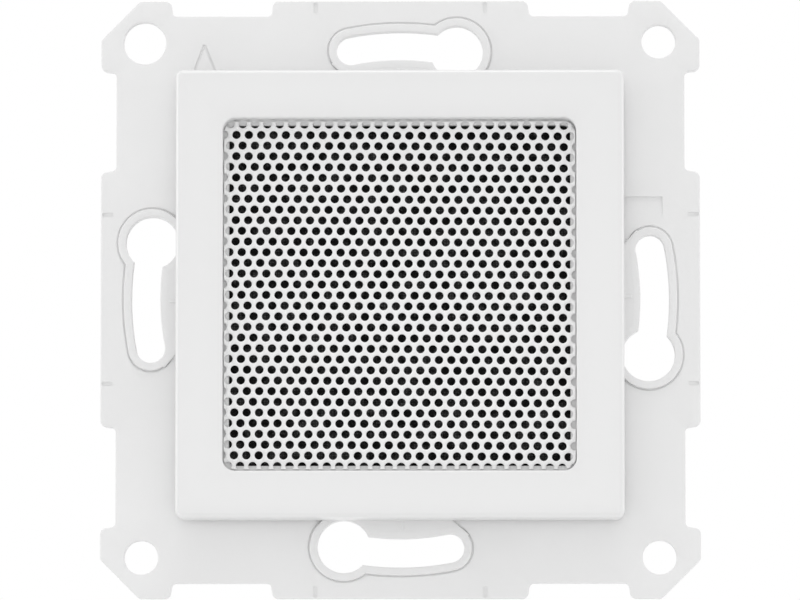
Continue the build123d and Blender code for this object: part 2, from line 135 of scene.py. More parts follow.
def square(half, corner=0.0):
    return box_points(0.0, 0.0, 2 * half, 2 * half, corner)


def eight(half):
    """The corners of an octagon, given half its width across two sides."""
    reach = half / cos(pi / 8)
    return [(reach * cos(pi / 8 + k * pi / 4), reach * sin(pi / 8 + k * pi / 4)) for k in range(8)]


def octagon(half, corner):
    return rounded(eight(half), corner)


def clipped(half, cut, radius):
    """A square whose corners are cut off at 45 degrees."""
    a, b = half, half - cut
    return rounded([(a, -b), (a, b), (b, a), (-b, a), (-a, b), (-a, -b), (-b, -a), (b, -a)], radius)


def plate_outline():
    """The notched outline, one side after another, anticlockwise."""
    chamfer, depth, near, far, flare = 4.6, 1.8, 15.25, 26.85, 0.25
    half_side = [(HALF - chamfer, 0.7), (far + flare, 0.75), (far, 0.55), (near, 0.55), (near - flare, 0.75)]
    side = half_side + [(-x, radius) for x, radius in reversed(half_side)]
    points, radii = [], []
    for k in range(4):
        for x, radius in side:
            z = HALF - depth if abs(x) in (near, far) else HALF
            points += turned([(x, z)], 90 * k)
            radii.append(radius)
    return rounded(points, radii)


def keyhole(side, grow=0.0):
    """Curved keyhole slot on one of the four sides, anticlockwise; grow widens it all round."""
    mid, head, neck = 30.0, 3.1 + grow, 1.7 + grow
    outer, inner = mid + neck, mid - neck
    tail, wide = 11.2, -12.8
    out_meet = wide + degrees(acos((outer**2 + mid**2 - head**2) / (2 * outer * mid)))
    in_meet = wide + degrees(acos((inner**2 + mid**2 - head**2) / (2 * inner * mid)))
    cx, cz = mid * cos(radians(wide)), mid * sin(radians(wide))
    tx, tz = mid * cos(radians(tail)), mid * sin(radians(tail))
    start = degrees(atan2(outer * sin(radians(out_meet)) - cz, outer * cos(radians(out_meet)) - cx))
    end = degrees(atan2(inner * sin(radians(in_meet)) - cz, inner * cos(radians(in_meet)) - cx))
    points = arc(0, 0, outer, out_meet, tail)
    points += arc(tx, tz, neck, tail, tail + 180)[1:-1]
    points += arc(0, 0, inner, tail, in_meet)
    points += arc(cx, cz, head, end, start + 360)[1:-1]
    return turned(points, 90 * side)


def with_bay(corners, radius, way_in):
    """An octagon whose bottom side takes in further points, with only its own corners rounded."""
    points = corners[:6] + way_in + corners[6:]
    return rounded(points, [radius] * 6 + [0.0] * len(way_in) + [radius] * 2)


def shifted(points, distance):
    """A closed line moved to its left by a distance."""
    count = len(points)
    out = []
    for k in range(count):
        (ax, az), (bx, bz), (cx, cz) = points[k - 1], points[k], points[(k + 1) % count]
        l1, l2 = hypot(bx - ax, bz - az), hypot(cx - bx, cz - bz)
        n1 = (-(bz - az) / l1, (bx - ax) / l1)
        n2 = (-(cz - bz) / l2, (cx - bx) / l2)
        mx, mz = n1[0] + n2[0], n1[1] + n2[1]
        size = hypot(mx, mz)
        mx, mz = mx / size, mz / size
        scale = distance / max(0.4, mx * n1[0] + mz * n1[1])
        out.append((bx + mx * scale, bz + mz * scale))
    return out


def signed_area(points):
    return sum(a[0] * b[1] - b[0] * a[1] for a, b in zip(points, points[1:] + points[:1])) / 2


def thick_line(path, thickness):
    """A closed outline round an open line."""
    left, right = [], []
    for k, (x, z) in enumerate(path):
        (ax, az), (bx, bz) = path[max(k - 1, 0)], path[min(k + 1, len(path) - 1)]
        size = hypot(bx - ax, bz - az)
        nx, nz = -(bz - az) / size * thickness / 2, (bx - ax) / size * thickness / 2
        left.append((x + nx, z + nz))
        right.append((x - nx, z - nz))
    return left + right[::-1]


def edges(back, front, soft_back, soft_front, steps=3):
    """Wall profile from a back height to a front height; each edge is rounded or left sharp."""
    quarter = [pi / 2 * k / steps for k in range(steps + 1)]
    out = [(soft_back * (1 - sin(a)), back + soft_back * (1 - cos(a))) for a in quarter if soft_back]
    out += [] if soft_back else [(0.0, back)]
    out += [(soft_front * (1 - cos(a)), front - soft_front * (1 - sin(a))) for a in quarter if soft_front]
    return out + ([] if soft_front else [(0.0, front)])


# Meshes in layers

class Layers:
    """A mesh made of upright walls along closed lines and of flat areas between them."""

    def __init__(self):
        self.verts, self.faces, self.smooth, self.tones = [], [], [], []
        self.tone = 0

    def face(self, ids, smooth=True):
        self.faces.append(tuple(ids))
        self.smooth.append(smooth)
        self.tones.append(self.tone)

    def line(self, points, height):
        first = len(self.verts)
        self.verts += [(x * MM, -height * MM, z * MM) for x, z in points]
        return {"points": points, "ids": list(range(first, first + len(points)))}

    def strip(self, low, high):
        for k in range(len(low)):
            n = (k + 1) % len(low)
            self.face((low[k], low[n], high[n], high[k]))

    def wall(self, points, profile):
        """profile holds (distance into the material, height) pairs from the back to the front."""
        lines = [self.line(shifted(points, d) if d else points, h) for d, h in profile]
        for low, high in zip(lines, lines[1:]):
            self.strip(low["ids"], high["ids"])
        return lines[0], lines[-1]

    def area(self, lines, front=True):
        """Fills between the first line and the holes made by the others."""
        points, ids, loops = [], [], []
        for line in lines:
            loop = list(range(len(points), len(points) + len(line["points"])))
            points += [Vector(p) for p in line["points"]]
            ids += line["ids"]
            loops.append(loop if signed_area(line["points"]) > 0 else loop[::-1])
        out, _, triangles, origins, _, inside = delaunay_2d_cdt(points, [], loops, 1, 1e-5)
        for triangle, owners in zip(triangles, inside):
            if list(owners) != [0]:
                continue
            face = [ids[origins[v][0]] for v in triangle]
            self.face(face if front else face[::-1], False)

    def block(self, points, back, front, soft):
        """A separate upright block with softened edges."""
        low, high = self.wall(points, edges(back, front, soft, soft))
        self.area([low], front=False)
        self.area([high])

    def pit(self, points, mouth, bottom):
        """A flat pit, let in from the back where its bottom is the higher; returns its edge."""
        front = bottom < mouth
        low, high = self.wall(points[::-1], [(0.0, min(mouth, bottom)), (0.0, max(mouth, bottom))])
        self.area([flipped(low if front else high)], front)
        return high if front else low

    def lathe(self, section, centre=(0.0, 0.0), count=96, closed=True):
        """Turns (radius, height) points about an upright axis; an open section ends on the axis."""
        cx, cz = centre
        rows = []
        for r, h in section:
            first = len(self.verts)
            ring = [(cx, cz)] if r < 1e-6 else circle(cx, cz, r, count)
            self.verts += [(x * MM, -h * MM, z * MM) for x, z in ring]
            rows.append([first] * count if len(ring) == 1 else list(range(first, first + count)))
        for low, high in zip(rows, rows[1:] + rows[:1] if closed else rows[1:]):
            for k in range(count):
                n = (k + 1) % count
                corners = list(dict.fromkeys((low[k], low[n], high[n], high[k])))
                if len(corners) > 2:
                    self.face(corners)

    def loft(self, sections):
        """A closed skin over a row of sections, each a list of (x, height, z) points."""
        rings = []
        for section in sections:
            first = len(self.verts)
            self.verts += [(x * MM, -h * MM, z * MM) for x, h, z in section]
            rings.append(list(range(first, first + len(section))))
        for low, high in zip(rings, rings[1:]):
            self.strip(low, high)
        self.face(rings[0][::-1], False)
        self.face(rings[-1], False)

    def leaf(self, path, thickness, x0, x1, turn=0, shift=0.0):
        """A strip of sheet: a line of (z, height) points made thick and drawn out along X."""
        outline = thick_line(path, thickness)
        first, count = len(self.verts), len(outline)
        for x in (x0, x1):
            for z, h in outline:
                (px, pz), = turned([(x, z)], turn)
                self.verts.append((px * MM, -h * MM, (pz + shift) * MM))
        self.strip(range(first, first + count), range(first + count, first + 2 * count))
        for k in range(len(path) - 1):
            cap = (k, k + 1, count - 2 - k, count - 1 - k)
            self.face([first + c for c in cap], False)
            self.face([first + count + c for c in cap[::-1]], False)

    def build(self, name):
        mesh = new_mesh(name, self.verts, self.faces)
        mesh.polygons.foreach_set("use_smooth", self.smooth)
        mesh.polygons.foreach_set("material_index", self.tones)
        work = bmesh.new()
        work.from_mesh(mesh)
        bmesh.ops.remove_doubles(work, verts=work.verts, dist=1e-6)
        bmesh.ops.recalc_face_normals(work, faces=work.faces)
        work.to_mesh(mesh)
        work.free()
        mesh.set_sharp_from_angle(angle=radians(35))
        mesh.validate()
        return shown(name, mesh)


def flipped(line):
    """The same line run the other way round."""
    return {"points": line["points"][::-1], "ids": line["ids"][::-1]}


def box_section(inner, outer, back, front, radius):
    """(radius, height) points of a ring with rounded edges."""
    return rounded([(inner, back), (outer, back), (outer, front), (inner, front)], radius, SECTION_STEP)


def new_mesh(name, verts, faces):
    mesh = bpy.data.meshes.new(name)
    mesh.from_pydata(verts, [], faces)
    return mesh


def shown(name, mesh):
    piece = bpy.data.objects.new(name, mesh)
    bpy.context.scene.collection.objects.link(piece)
    return piece


def finished(piece, body, slot, material, *replaced):
    """Puts a new piece on its body, if it has only one, with its finishes and the CAD nodes it stands for."""
    for finish in material if isinstance(material, (list, tuple)) else (material,):
        piece.data.materials.append(finish)
    if body:
        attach(piece, body)
    if replaced:
        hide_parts(*replaced)
    return piece


def combined(piece, operation, *tools):
    """Joins the tools to a piece, or cuts them out of it, and takes them away."""
    for tool in tools:
        change = piece.modifiers.new("combine", "BOOLEAN")
        change.operation = operation
        change.solver = "EXACT"
        change.object = tool
        evaluated = piece.evaluated_get(bpy.context.evaluated_depsgraph_get())
        mesh = bpy.data.meshes.new_from_object(evaluated)
        piece.modifiers.clear()
        piece.data = mesh
        bpy.data.objects.remove(tool)
    piece.data.set_sharp_from_angle(angle=radians(30))
    return piece


# Materials

class Graph:
    """The nodes of a material or of the world, and the shader that they end in."""

    def __init__(self, owner, shader):
        owner.use_nodes = True
        self.nodes, self.links = owner.node_tree.nodes, owner.node_tree.links
        self.shader = self.nodes[shader]

    def feed(self, target, inputs):
        """Gives each input its value, or links it to the output that it takes its value from."""
        for key, value in inputs.items():
            if isinstance(value, bpy.types.NodeSocket):
                self.links.new(value, target.inputs[key])
            else:
                target.inputs[key].default_value = value

    def add(self, kind, output, inputs=None, **settings):
        """Makes a node and returns one of its outputs."""
        made = self.nodes.new("ShaderNode" + kind)
        for key, value in settings.items():
            setattr(made, key, value)
        self.feed(made, inputs or {})
        return made.outputs[output]

    def math(self, operation, a, b):
        return self.add("Math", "Value", {0: a, 1: b}, operation=operation)

    def choice(self, factor, a, b):
        return self.add("Mix", 0, {0: factor, 2: a, 3: b}, data_type="FLOAT")


class Surface(Graph):
    """A new material whose textures lie on the object's own coordinates."""

    def __init__(self, name):
        self.material = bpy.data.materials.new(name)
        super().__init__(self.material, "Principled BSDF")
        self.place = self.add("TexCoord", "Object")

    def texture(self, kind, output, scale, inputs=None, **settings):
        return self.add(kind, output, {"Vector": self.place, "Scale": scale, **(inputs or {})}, **settings)

    def noise(self, scale, detail, **inputs):
        return self.texture("TexNoise", "Fac", scale, {"Detail": detail, **inputs})

    def bands(self, direction, pitch, **inputs):
        """Soft bands across one axis, at a pitch in millimetres."""
        return self.texture("TexWave", "Fac", pi / (10 * pitch * MM), inputs, bands_direction=direction)

    def tones(self, factor, low, high, start=0.0, end=1.0):
        """The colour between two tones, as a factor runs from start to end."""
        colour = self.add("ValToRGB", "Color", {"Fac": factor})
        first, last = colour.node.color_ramp.elements
        first.position, last.position = start, end
        first.color, last.color = (*low, 1), (*high, 1)
        return colour

    def spread(self, factor, low, high, **inputs):
        return self.add("MapRange", "Result", {"Value": factor, "To Min": low, "To Max": high, **inputs})

    def done(self, colour, height, strength, depth, inputs):
        """Finishes the shader with a colour, a bump whose depth is in millimetres, and the rest."""
        normal = self.add("Bump", "Normal", {"Height": height, "Strength": strength, "Distance": depth * MM})
        self.feed(self.shader, {"Base Color": colour, "Normal": normal, **inputs})
        return self.material


def scaled(color, factor):
    return [c * factor for c in color]


def moulded(name, color, roughness=0.42, grain=2600.0, grain_depth=0.02, cloud=0.018, cloud_scale=55.0,
            metallic=0.0, coat=0.0, uneven=0.15):
    """Moulded or painted surface: faint clouding of the colour, fine grain, uneven gloss."""
    surface = Surface(name)
    clouds = surface.noise(cloud_scale, 3.0)
    fine = surface.noise(grain, 4.0)
    colour = surface.tones(clouds, scaled(color, 1 - cloud), scaled(color, 1 + cloud), 0.3, 0.7)
    gloss = surface.spread(fine, roughness * (1 - uneven), roughness * (1 + uneven))
    inputs = {"Roughness": gloss, "Metallic": metallic, "Coat Weight": coat}
    return surface.done(colour, fine, 0.35, grain_depth, inputs)


def woven(name, color, pitch=0.32, depth=0.05, contrast=0.45, slub=0.0, sheen=0.2):
    """Plain weave: two crossed sets of threads; slub is how much lighter its thick yarns are."""
    surface = Surface(name)
    warp, weft = (surface.bands(axis, pitch, Distortion=0.6, Detail=1.0) for axis in "XZ")
    cross = surface.math("MULTIPLY", warp, weft)
    colour = surface.tones(cross, scaled(color, 1 - contrast), scaled(color, 1 + contrast))
    if slub:
        yarn = surface.noise(640.0, 4.0, Roughness=0.8)
        lift = surface.spread(yarn, 0.35, slub, **{"From Min": 0.47, "From Max": 0.72})
        colour = surface.add("VectorMath", "Vector", {0: colour, "Scale": lift}, operation="SCALE")
    return surface.done(colour, cross, 0.6, depth, {"Roughness": 0.9, "Sheen Weight": sheen})


def wound(name, color, pitch, roughness):
    """Fine windings side by side."""
    surface = Surface(name)
    turns = surface.bands("Y", pitch, Distortion=0.2)
    colour = surface.tones(turns, scaled(color, 0.45), color)
    return surface.done(colour, turns, 0.5, 0.03, {"Roughness": roughness, "Metallic": 0.9})


def porous(name, color):
    """Open-cell foam: small dark pores in a matt ground."""
    surface = Surface(name)
    cells = surface.texture("TexVoronoi", "Distance", 2600.0)
    colour = surface.tones(cells, scaled(color, 0.3), scaled(color, 1.4), 0.0, 0.6)
    return surface.done(colour, cells, 0.8, 0.12, {"Roughness": 0.95})


def fibrous(name, color, roughness=0.85):
    """Pressed fibre: short streaks in all directions and a felted surface."""
    surface = Surface(name)
    fibre = surface.noise(900.0, 8.0, Distortion=2.5)
    colour = surface.tones(fibre, scaled(color, 0.6), scaled(color, 1.5), 0.35, 0.7)
    return surface.done(colour, fibre, 0.5, 0.05, {"Roughness": roughness})


def tracked(name, dark, light):
    """Solder mask over copper tracks, which run upright in some areas and level in others."""
    surface = Surface(name)
    upright, level = (surface.math("GREATER_THAN", surface.bands(axis, 0.9), 0.55) for axis in "XZ")
    areas = surface.texture("TexVoronoi", "Color", 150.0, distance="CHEBYCHEV")
    red = surface.add("SeparateColor", 0, {"Color": areas})
    tracks = surface.choice(surface.math("GREATER_THAN", red, 0.5), upright, level)
    ground = surface.math("GREATER_THAN", red.node.outputs[1], 0.7)
    copper = surface.math("MAXIMUM", tracks, ground)
    colour = surface.tones(copper, dark, light)
    return surface.done(colour, copper, 0.5, 0.03, {"Roughness": 0.28, "Coat Weight": 0.4})


plate_white = moulded("plate_white", (0.787, 0.787, 0.787), roughness=0.45, cloud=0.010)
cover_white = moulded("cover_white", (0.772, 0.772, 0.772), roughness=0.28, grain=4200.0, grain_depth=0.002,
                      cloud=0.004, uneven=0.04)
grille_white = moulded("grille_white", (0.83, 0.83, 0.83), roughness=0.4, grain_depth=0.01, cloud=0.045,
                       cloud_scale=5200.0)
cloth_black = woven("cloth_black", (0.009, 0.009, 0.009), slub=16.0, sheen=0.06)
foam_black = porous("foam_black", (0.03, 0.03, 0.032))
chassis_black = moulded("chassis_black", (0.045, 0.045, 0.05), roughness=0.38, grain=900.0, grain_depth=0.03,
                        coat=0.3)
rubber_black = moulded("rubber_black", (0.028, 0.028, 0.028), roughness=0.62, grain=3200.0, grain_depth=0.02)
paper_black = fibrous("paper_black", (0.05, 0.05, 0.05))
cap_black = moulded("cap_black", (0.03, 0.03, 0.033), roughness=0.32, grain=1500.0, grain_depth=0.02, coat=0.5)
former_amber = moulded("former_amber", (0.32, 0.16, 0.05), roughness=0.3, cloud=0.08, coat=0.4)
copper_wire = wound("copper_wire", (0.72, 0.36, 0.16), pitch=0.2, roughness=0.28)
spider_amber = woven("spider_amber", (0.42, 0.28, 0.11), pitch=0.45, depth=0.04, contrast=0.3)
zinc = moulded("zinc", (0.52, 0.51, 0.48), roughness=0.34, grain=700.0, grain_depth=0.01, cloud=0.10,
               cloud_scale=160.0, metallic=1.0)
nickel = moulded("nickel", (0.60, 0.58, 0.54), roughness=0.2, grain=1800.0, grain_depth=0.004, cloud=0.04,
                 metallic=1.0)
hard_paper = fibrous("hard_paper", (0.22, 0.11, 0.05), roughness=0.45)
brass = moulded("brass", (0.78, 0.60, 0.28), roughness=0.26, grain=1200.0, grain_depth=0.006, cloud=0.06,
                metallic=1.0)
housing_grey = moulded("housing_grey", (0.70, 0.70, 0.69), roughness=0.5, grain=1500.0, grain_depth=0.05)
solder_mask = tracked("solder_mask", (0.02, 0.13, 0.05), (0.05, 0.24, 0.10))
solder = moulded("solder", (0.70, 0.70, 0.70), roughness=0.25, grain=900.0, grain_depth=0.01, metallic=1.0)
case_yellow = moulded("case_yellow", (0.70, 0.50, 0.08), roughness=0.36, grain=1400.0, cloud=0.04)
resin_black = moulded("resin_black", (0.02, 0.02, 0.02), roughness=0.12, grain=260.0, grain_depth=0.03,
                      coat=0.8)
sleeve = moulded("sleeve", (0.03, 0.03, 0.06), roughness=0.3, cloud=0.1, coat=0.5)
aluminium = moulded("aluminium", (0.78, 0.78, 0.78), roughness=0.32, grain=1600.0, grain_depth=0.01,
                    metallic=1.0)
case_ochre = moulded("case_ochre", (0.58, 0.38, 0.05), roughness=0.4, grain=1800.0, cloud=0.05)
ferrite = moulded("ferrite", (0.06, 0.06, 0.065), roughness=0.5, grain=1100.0, grain_depth=0.03, cloud=0.12)
module_blue = tracked("module_blue", (0.012, 0.04, 0.09), (0.03, 0.09, 0.17))
tin = moulded("tin", (0.72, 0.72, 0.71), roughness=0.3, grain=1500.0, grain_depth=0.008, cloud=0.06,
              metallic=1.0)
mould_black = moulded("mould_black", (0.02, 0.02, 0.02), roughness=0.55, grain=2400.0)
terminal_grey = moulded("terminal_grey", (0.33, 0.35, 0.36), roughness=0.42, grain=1700.0)
clamp_metal = moulded("clamp_metal", (0.66, 0.60, 0.42), roughness=0.28, grain=1300.0, grain_depth=0.008,
                      cloud=0.07, metallic=1.0)
floor_pale = moulded("floor_pale", (0.86, 0.86, 0.86), roughness=0.8, grain=40.0, cloud_scale=3.0)

# Support plate: outline, slots, rims, marks, platform, seat and windows
GROOVE = PLATE - 0.16
STEP, LEDGE = 0.8, 0.85
ARM_X, ARM_Z = 24.15, 17.0
plate = Layers()
outline_low, outline_high = plate.wall(plate_outline(), edges(0.0, PLATE, 0.12, 0.14))
back_lines, front_lines = [outline_low], [outline_high]
for x, z in CORNERS:
    hole = circle(-30.2, 30.38, 2.5) if x < 0 < z else circle(30.5 * x, 30.5 * z, 2.0)
    low, high = plate.wall(hole[::-1], edges(0.0, PLATE, 0.1, 0.1))
    back_lines.append(low)
    front_lines.append(high)
moat = [(0.0, PLATE), (0.0, 1.62), (0.18, 1.6), (0.24, 2.0), (0.32, RIM)]
for side in range(4):
    low, inner = plate.wall(keyhole(side)[::-1], edges(0.0, RIM, 0.1, 0.1))
    foot, outer = plate.wall(keyhole(side, 1.15), moat)
    plate.area([outer, inner])
    back_lines.append(low)
    front_lines.append(foot)
for side in range(4):
    for offset in (-10.0, 10.0):
        mark = box_points(offset, HALF - 0.82, 0.5, 1.3, 0.2)
        front_lines.append(plate.pit(turned(mark, 90 * side), PLATE, GROOVE))
caret = [(-24.46, 27.2), (-24.14, 27.2), (-23.15, 29.75), (-22.1, 27.2), (-21.78, 27.2), (-22.98, 30.2),
         (-23.32, 30.2)]
front_lines.append(plate.pit(caret, PLATE, GROOVE))
ramp = [(25.6, 9.4), (30.93, 9.4), (30.93, 12.1), (25.6, 12.1)]
ramp_edge = plate.line(ramp, PLATE)
(a, b, c, d), (c_low, d_low) = ramp_edge["ids"], plate.line(ramp[2:], PLATE - 0.22)["ids"]
for corners in ((a, b, c_low, d_low), (b, c, c_low), (c, d, d_low, c_low), (d, a, d_low)):
    plate.face(corners, False)
front_lines.append(ramp_edge)
foot, platform_top = plate.wall(clipped(23, 3, 0.5), edges(PLATE, PLATFORM, 0, 0.2))
front_lines.append(foot)
seat_low, seat_high = plate.wall(octagon(23.2, 1.2), edges(SEAT, 0.0, 0.15, 0))
back_lines.append(seat_high)
hole_low, hole_high = plate.wall(octagon(17.6, 1.0)[::-1], edges(SEAT, PLATFORM, 0.1, 0.1))
seat_lines, top_lines = [seat_low, hole_low], [platform_top, hole_high]
for side in range(4):
    narrow = turned(box_points(20.8, 0, 1.6, 6.4, 0.15), 90 * side)
    wide = turned(box_points(21.075, 0, 2.25, 6.5, 0.15), 90 * side)
    low, step_in = plate.wall(narrow[::-1], [(0.0, SEAT), (0.0, STEP)])
    step_out, high = plate.wall(wide[::-1], edges(STEP, PLATFORM, 0, 0.1))
    plate.area([flipped(step_out), step_in])
    seat_lines.append(low)
    top_lines.append(high)
for x, z in CORNERS:
    wide = box_points(24.375 * x, ARM_Z * z, 2.15, 4.5, 0.15)
    narrow = box_points(ARM_X * x, ARM_Z * z, 1.6, 4.4, 0.15)
    low, ledge_out = plate.wall(wide[::-1], [(0.0, 0.0), (0.0, LEDGE)])
    ledge_in, high = plate.wall(narrow[::-1], [(0.0, LEDGE), (0.0, PLATE)])
    plate.area([flipped(ledge_out), ledge_in], front=False)
    back_lines.append(low)
    front_lines.append(high)
plate.area(back_lines, front=False)
plate.area(front_lines)
plate.area(seat_lines, front=False)
plate.area(top_lines)
# Barbs that grip the loudspeaker, lands between the slots and the cover, and a tick on each land
stems, heads = Layers(), Layers()
land = rounded([(25.2, -6.2), (25.75, -5.6), (26.3, -4.5), (27.2, -3.6), (27.6, -3.2), (27.6, 6.4), (28.0, 7.9),
                (27.9, 8.25), (26.4, 6.5), (25.2, 5.5)], 0.16)
tick = box_points(26.68, 0.25, 1.16, 0.36, 0.05)
for x, z in CORNERS:
    stems.block(box_points(22.5 * x, 11.0 * z, 0.8, 5.0, 0.15), PLATFORM - 0.2, 5.1, 0.08)
    heads.block(box_points(22.22 * x, 11.0 * z, 1.24, 4.9, 0.15), 4.5, 5.06, 0.08)
for side in range(4):
    stems.block(turned(land, 90 * side), PLATE - 0.2, RIM - 0.01, 0.15)
    heads.block(turned(tick, 90 * side), RIM - 0.1, RIM + 0.14, 0.04)
plate_body = plate.build("support_plate_moulding")
plate_piece = combined(plate_body, "UNION", stems.build("stems"), heads.build("heads"))
finished(plate_piece, "unit", "plate_plastic", plate_white, "support_plate")

# Cover: front ring, opening with its ledge, collar, hollow back and snap arms
cover = Layers()
bottom_out, front_out = cover.wall(moved(square(26.25, 0.9), 0.05, 0.1), edges(RIM, COVER, 0.1, 0.55, 6))
ledge_out, front_in = cover.wall(square(20.7, 1.5)[::-1], edges(GRILLE_BACK, COVER, 0, 0.22))
cover.area([front_out, front_in])
collar_in, ledge_in = cover.wall(square(20.0, 0.8)[::-1], edges(LEDGE_BACK, GRILLE_BACK, 0, 0.05))
cover.area([flipped(ledge_out), ledge_in])
collar_back, collar_root = cover.wall(square(21.9, 0.3), edges(LEDGE_BACK, PANEL_BACK, 0.1, 0))
cover.area([collar_back, collar_in], front=False)
bottom_in, panel_edge = cover.wall(square(24.75, 0.3)[::-1], edges(RIM, PANEL_BACK, 0.1, 0))
cover.area([bottom_out, bottom_in], front=False)
cover.area([flipped(panel_edge), collar_root], front=False)
arms, hooks = Layers(), Layers()
for x, z in CORNERS:
    arms.block(box_points(ARM_X * x, ARM_Z * z, 1.2, 4.0, 0.15), 0.2, PANEL_BACK + 0.1, 0.08)
    hooks.block(box_points(24.42 * x, ARM_Z * z, 1.64, 3.9, 0.15), 0.24, 0.8, 0.08)
cover_piece = combined(cover.build("cover_moulding"), "UNION", arms.build("arms"), hooks.build("hooks"))
finished(cover_piece, "unit", "cover_plastic", cover_white, "cover_frame")

# Grille: the sheet is cut to size through its rows of round holes
SHEET_X, SHEET_Z = 20.6, 20.42
SHEET_TURN, SHEET_SHIFT = -0.36, 0.04
FIRST_X, FIRST_Z = 0.26, -0.053
PITCH, HOLE, HOLE_EDGE, HOLE_SIDES = 1.45, 0.50, 0.03, 16


def hole_at(row, column):
    """A hole's centre in the close-packed pattern, before the sheet is turned."""
    return FIRST_X + column * PITCH + (PITCH / 2 if row % 2 else 0), FIRST_Z + row * PITCH * sqrt(3) / 2


def on_hole(point):
    """The centre of the hole on whose edge a point of the sheet lies, or None."""
    row = round((point.y - FIRST_Z) / (PITCH * sqrt(3) / 2))
    for r in (row - 1, row, row + 1):
        x, z = hole_at(r, round((point.x - hole_at(r, 0)[0]) / PITCH))
        if hypot(point.x - x, point.y - z) < HOLE + HOLE_EDGE + 0.01:
            return x, z
    return None


outline = turned(box_points(-SHEET_SHIFT, 0.0, 2 * SHEET_X, 2 * SHEET_Z, 1.4), -SHEET_TURN)
points = [Vector(p) for p in outline]
loops = [list(range(len(points)))]
for row in range(-18, 19):
    for column in range(-18, 19):
        x, z = hole_at(row, column)
        (at_x, at_z), = turned([(x, z)], SHEET_TURN)
        if abs(at_x + SHEET_SHIFT) < SHEET_X + HOLE and abs(at_z) < SHEET_Z + HOLE:
            loops.append(list(range(len(points), len(points) + HOLE_SIDES)))
            points += [Vector(p) for p in moved(circle(0, 0, HOLE + HOLE_EDGE, HOLE_SIDES), x, z)]
flat, _, triangles, _, _, inside = delaunay_2d_cdt(points, [], loops, 1, 1e-5)
kept = [tuple(t) for t, owners in zip(triangles, inside) if list(owners) == [0]]
used = sorted({v for t in kept for v in t})
rank = {v: k for k, v in enumerate(used)}
count = len(used)
verts = []
for depth, inset in ((0.0, False), (HOLE_EDGE, True), (GRILLE_FRONT - GRILLE_BACK, True)):
    for v in used:
        x, z = flat[v].x, flat[v].y
        hole = on_hole(flat[v])
        if inset and hole:
            share = HOLE / (HOLE + HOLE_EDGE)
            x, z = hole[0] + (x - hole[0]) * share, hole[1] + (z - hole[1]) * share
        (x, z), = turned([(x, z)], SHEET_TURN)
        x = max(-SHEET_X, min(SHEET_X, x + SHEET_SHIFT))
        z = max(-SHEET_Z, min(SHEET_Z, z))
        verts.append((x * MM, -(GRILLE_FRONT - depth) * MM, z * MM))
fronts = [tuple(rank[v] for v in t) for t in kept]
faces = fronts + [tuple(v + 2 * count for v in reversed(face)) for face in fronts]
smooth = [False] * len(faces)
pairs = [(face[k], face[(k + 1) % 3]) for face in fronts for k in range(3)]
known = set(pairs)
for a, b in pairs:
    if (b, a) not in known:
        faces += [(b + top, a + top, a + top + count, b + top + count) for top in (0, count)]
        smooth += [True, True]
mesh = new_mesh("grille_sheet", verts, faces)
mesh.polygons.foreach_set("use_smooth", smooth)
mesh.set_sharp_from_angle(angle=radians(50))
mesh.validate()
finished(shown("grille_sheet", mesh), "unit", "grille_sheet", grille_white, "grille")

# Acoustic cloth stretched behind the collar
half, cells, slack = 21.35, 40, 0.04
row = cells + 1
layer = row**2
verts, faces = [], []
for height in (5.85, 5.65):
    for i in range(row):
        for j in range(row):
            x, z = (half * (2 * k / cells - 1) for k in (i, j))
            sag = slack * cos(pi * x / half / 2) * cos(pi * z / half / 2)
            verts.append((x * MM, -(height - sag) * MM, z * MM))
for i in range(cells):
    for j in range(cells):
        a = i * row + j
        faces.append((a, a + row, a + row + 1, a + 1))
        faces.append((a + layer, a + 1 + layer, a + row + 1 + layer, a + row + layer))
border = [i * row for i in range(cells)] + [cells * row + j for j in range(cells)]
border += [i * row + cells for i in range(cells, 0, -1)] + list(range(cells, 0, -1))
faces += [(b, a, a + layer, b + layer) for a, b in zip(border, border[1:] + border[:1])]
mesh = new_mesh("acoustic_cloth", verts, faces)
mesh.shade_smooth()
cloth = finished(shown("acoustic_cloth", mesh), "unit", "acoustic_cloth", cloth_black, "dust_cloth")

# Foam gasket between the cloth and the loudspeaker
foam_profile = edges(FLANGE_FRONT, 5.6, 0.25, 0.25)
gasket = Layers()
outer_low, outer_high = gasket.wall(clipped(21.2, 3.0, 0.6), foam_profile)
inner_low, inner_high = gasket.wall(clipped(19.3, 1.9, 0.6)[::-1], foam_profile)
gasket.area([outer_low, inner_low], front=False)
gasket.area([outer_high, inner_high])
seal = finished(gasket.build("foam_gasket"), "unit", "foam", foam_black, "speaker_gasket")

# Loudspeaker chassis: flange, four curved legs and the floor under the suspension
LEG_STEPS, LEG_HALF = 10, 4.5
chassis = Layers()
flange_low, flange_high = chassis.wall(clipped(22.0, 2.0, 0.6), edges(FLANGE_BACK, FLANGE_FRONT, 0.1, 0.15))
mouth = circle(0, 0, 16.4, 128)[::-1]
mouth_low, mouth_high = chassis.wall(mouth, edges(FLANGE_BACK, FLANGE_FRONT, 0.1, 0.1))
chassis.area([flange_low, mouth_low], front=False)
chassis.area([flange_high, mouth_high])
chassis.lathe(box_section(7.2, 12.2, DISH_BACK, DISH_FRONT, 0.12))
leg = rounded([(16.35, 3.75), (11.4, DISH_FRONT), (11.4, DISH_BACK), (12.2, DISH_BACK), (17.2, 3.75)], 0.1,
              SECTION_STEP)
for side in range(4):
    sections = []
    for k in range(LEG_STEPS + 1):
        share = 2 * k / LEG_STEPS - 1
        angles = [pi / 2 * side + share * asin(LEG_HALF / r) for r, _ in leg]
        sections.append([(r * cos(a), h, r * sin(a)) for (r, h), a in zip(leg, angles)])
    chassis.loft(sections)
finished(chassis.build("chassis"), "unit", "chassis_steel", chassis_black, "speaker_basket")

